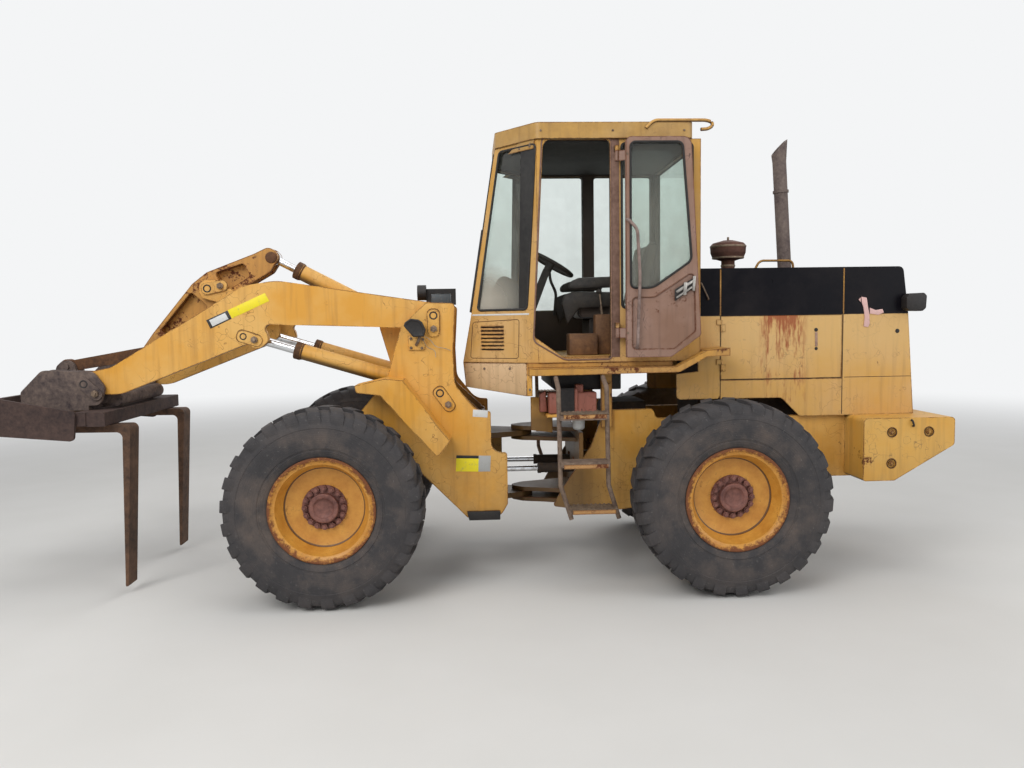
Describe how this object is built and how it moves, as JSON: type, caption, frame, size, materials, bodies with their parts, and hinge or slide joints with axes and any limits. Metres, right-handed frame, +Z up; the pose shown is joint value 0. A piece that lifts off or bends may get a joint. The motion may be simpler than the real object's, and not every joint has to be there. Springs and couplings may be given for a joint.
{
  "type": "wheel loader",
  "caption": "Articulated wheel loader with a closed cab, Z-bar arms, a quick coupler and a pallet fork carriage tipped fully forward.",
  "frame": {"origin": "middle of the machine's length and width, on the ground below the tyres", "axes": "+X forward towards the forks, +Y to the driver's left, +Z up"},
  "size_m": [6.945, 2.245, 3.2728],
  "materials": {
    "machine_yellow": "weathered yellow enamel",
    "wheel_yellow": "yellow enamel with rusty rims",
    "tyre": "worn rubber, dusty",
    "rusty_steel": "bare steel, brown rust",
    "black_enamel": "black enamel, satin",
    "glass": "cab glass, dusty",
    "chrome_rod": "hard chrome plate",
    "rusty_stack": "burnt and rusted tube",
    "brown_steel": "faded brown",
    "dark_steel": "worn black paint",
    "seat_fabric": "black seat cloth",
    "cab_plastic": "moulded plastic",
    "engine_casting": "oily casting",
    "pin_steel": "worn steel plate",
    "axle_casting": "dirty casting",
    "cab_brown": "brown enamel"
  },
  "bodies": {
    "rear_body": {"rear_frame": "machine_yellow", "rear_axle": "axle_casting", "counterweight": "machine_yellow", "engine": "engine_casting", "transmission": "engine_casting", "hood": "black_enamel", "shrouds": "machine_yellow", "platforms": "machine_yellow", "ladders": "dark_steel", "cab_frame": "machine_yellow", "cab_glass": "glass", "cab_roof": "machine_yellow", "seat": "cab_plastic", "seat_cushion": "seat_fabric", "console_and_wheel": "cab_plastic", "exhaust_stack": "rusty_stack", "precleaner": "brown_steel"},
    "cab_door_body": {"cab_door": "cab_brown", "cab_door_glass": "glass"},
    "engine_door_left_body": {"engine_door_left": "machine_yellow"},
    "engine_door_right_body": {"engine_door_right": "machine_yellow"},
    "front_body": {"front_frame": "machine_yellow", "front_axle": "axle_casting", "tower_pins": "pin_steel", "fender_brackets": "machine_yellow", "lamp_bracket": "dark_steel"},
    "boom_body": {"boom": "machine_yellow", "boom_pins": "pin_steel"},
    "bellcrank_body": {"bellcrank": "machine_yellow"},
    "tilt_link_body": {"tilt_link": "rusty_steel"},
    "tool_body": {"coupler": "rusty_steel", "carriage": "rusty_steel", "forks": "rusty_steel"},
    "tilt_barrel_body": {"tilt_barrel": "machine_yellow"},
    "tilt_rod_body": {"tilt_rod": "chrome_rod"},
    "lift_barrel_left_body": {"lift_barrel_left": "machine_yellow"},
    "lift_rod_left_body": {"lift_rod_left": "chrome_rod"},
    "steer_barrel_left_body": {"steer_barrel_left": "axle_casting"},
    "steer_rod_left_body": {"steer_rod_left": "chrome_rod"},
    "wheel_front_left_body": {"tyre_front_left": "tyre", "rim_front_left": "wheel_yellow"},
    "wheel_rear_left_body": {"tyre_rear_left": "tyre", "rim_rear_left": "wheel_yellow"},
    "lift_barrel_right_body": {"lift_barrel_right": "machine_yellow"},
    "lift_rod_right_body": {"lift_rod_right": "chrome_rod"},
    "steer_barrel_right_body": {"steer_barrel_right": "axle_casting"},
    "steer_rod_right_body": {"steer_rod_right": "chrome_rod"},
    "wheel_front_right_body": {"tyre_front_right": "tyre", "rim_front_right": "wheel_yellow"},
    "wheel_rear_right_body": {"tyre_rear_right": "tyre", "rim_rear_right": "wheel_yellow"}
  },
  "joints": [
    {"name": "steer", "type": "hinge", "parent": "rear_body", "child": "front_body", "pos_m": [-0.3975, 0, 0.78], "axis": [0, 0, 1], "range_deg": [-40, 40]},
    {"name": "cab_door_hinge", "type": "hinge", "parent": "rear_body", "child": "cab_door_body", "pos_m": [-1.0425, 0.7, 2.4], "axis": [0, 0, 1], "range_deg": [-180, 0]},
    {"name": "engine_door_left_hinge", "type": "hinge", "parent": "rear_body", "child": "engine_door_left_body", "pos_m": [-1.8445, 0.508, 1.67], "axis": [0, 0, -1], "range_deg": [0, 85]},
    {"name": "engine_door_right_hinge", "type": "hinge", "parent": "rear_body", "child": "engine_door_right_body", "pos_m": [-1.8445, -0.508, 1.67], "axis": [0, 0, 1], "range_deg": [0, 85]},
    {"name": "wheel_rear_left", "type": "hinge", "parent": "rear_body", "child": "wheel_rear_left_body", "pos_m": [-1.7775, 0.9, 0.67], "axis": [0, 1, 0], "continuous": true},
    {"name": "wheel_rear_right", "type": "hinge", "parent": "rear_body", "child": "wheel_rear_right_body", "pos_m": [-1.7775, -0.9, 0.67], "axis": [0, 1, 0], "continuous": true},
    {"name": "wheel_front_left", "type": "hinge", "parent": "front_body", "child": "wheel_front_left_body", "pos_m": [0.9825, 0.9, 0.67], "axis": [0, 1, 0], "continuous": true},
    {"name": "wheel_front_right", "type": "hinge", "parent": "front_body", "child": "wheel_front_right_body", "pos_m": [0.9825, -0.9, 0.67], "axis": [0, 1, 0], "continuous": true},
    {"name": "boom_lift", "type": "hinge", "parent": "front_body", "child": "boom_body", "pos_m": [0.2515, 0, 1.937], "axis": [0, -1, 0], "range_deg": [-28, 58]},
    {"name": "tool_tilt", "type": "hinge", "parent": "boom_body", "child": "tool_body", "pos_m": [2.7055, 0, 1.492], "axis": [0, 1, 0], "range_deg": [-125, 0]},
    {"name": "bellcrank_pivot", "type": "hinge", "parent": "boom_body", "child": "bellcrank_body", "pos_m": [1.9555, 0, 2.167], "axis": [0, -1, 0], "range_deg": [-61, 2]},
    {"name": "tilt_link_pivot", "type": "hinge", "parent": "bellcrank_body", "child": "tilt_link_body", "pos_m": [2.4025, 0, 1.7], "axis": [0, -1, 0], "range_deg": [-2, 86]},
    {"name": "tilt_barrel_pivot", "type": "hinge", "parent": "front_body", "child": "tilt_barrel_body", "pos_m": [0.2925, 0, 1.77], "axis": [0, -1, 0], "range_deg": [-28, 57]},
    {"name": "tilt_rod_slide", "type": "slide", "parent": "tilt_barrel_body", "child": "tilt_rod_body", "axis": [0.8854, 0, 0.4649], "range_m": [-0.005, 0.527]},
    {"name": "lift_barrel_left_pivot", "type": "hinge", "parent": "front_body", "child": "lift_barrel_left_body", "pos_m": [0.2165, 0.364, 1.381], "axis": [0, -1, 0], "range_deg": [-24, 48]},
    {"name": "lift_rod_left_slide", "type": "slide", "parent": "lift_barrel_left_body", "child": "lift_rod_left_body", "axis": [0.9558, 0, 0.294], "range_m": [-0.216, 0.437]},
    {"name": "steer_barrel_left_pivot", "type": "hinge", "parent": "rear_body", "child": "steer_barrel_left_body", "pos_m": [-0.9175, 0.19, 0.76], "axis": [0, 0, 1], "range_deg": [-13, 13]},
    {"name": "steer_rod_left_slide", "type": "slide", "parent": "steer_barrel_left_body", "child": "steer_rod_left_body", "axis": [0.9994, 0.0345, 0], "range_m": [-0.147, 0.147]},
    {"name": "lift_barrel_right_pivot", "type": "hinge", "parent": "front_body", "child": "lift_barrel_right_body", "pos_m": [0.2165, -0.364, 1.381], "axis": [0, -1, 0], "range_deg": [-24, 48]},
    {"name": "lift_rod_right_slide", "type": "slide", "parent": "lift_barrel_right_body", "child": "lift_rod_right_body", "axis": [0.9558, 0, 0.294], "range_m": [-0.216, 0.437]},
    {"name": "steer_barrel_right_pivot", "type": "hinge", "parent": "rear_body", "child": "steer_barrel_right_body", "pos_m": [-0.9175, -0.19, 0.76], "axis": [0, 0, 1], "range_deg": [-13, 13]},
    {"name": "steer_rod_right_slide", "type": "slide", "parent": "steer_barrel_right_body", "child": "steer_rod_right_body", "axis": [0.9994, -0.0345, 0], "range_m": [-0.147, 0.147]}
  ],
  "couplings": [
    {"joint": "bellcrank_pivot", "follows": "tool_tilt", "ratio": 0.4773},
    {"joint": "tilt_link_pivot", "follows": "tool_tilt", "ratio": -0.6735},
    {"joint": "tilt_barrel_pivot", "follows": "boom_lift", "ratio": 0.949},
    {"joint": "tilt_rod_slide", "follows": "tool_tilt", "m_per_rad": -0.23715},
    {"joint": "lift_barrel_left_pivot", "follows": "boom_lift", "ratio": 0.81},
    {"joint": "lift_rod_left_slide", "follows": "boom_lift", "m_per_rad": 0.4217},
    {"joint": "steer_barrel_left_pivot", "follows": "steer", "ratio": 0.2805},
    {"joint": "steer_rod_left_slide", "follows": "steer", "m_per_rad": -0.20298},
    {"joint": "lift_barrel_right_pivot", "follows": "boom_lift", "ratio": 0.81},
    {"joint": "lift_rod_right_slide", "follows": "boom_lift", "m_per_rad": 0.4217},
    {"joint": "steer_barrel_right_pivot", "follows": "steer", "ratio": 0.2805},
    {"joint": "steer_rod_right_slide", "follows": "steer", "m_per_rad": 0.20298}
  ]
}
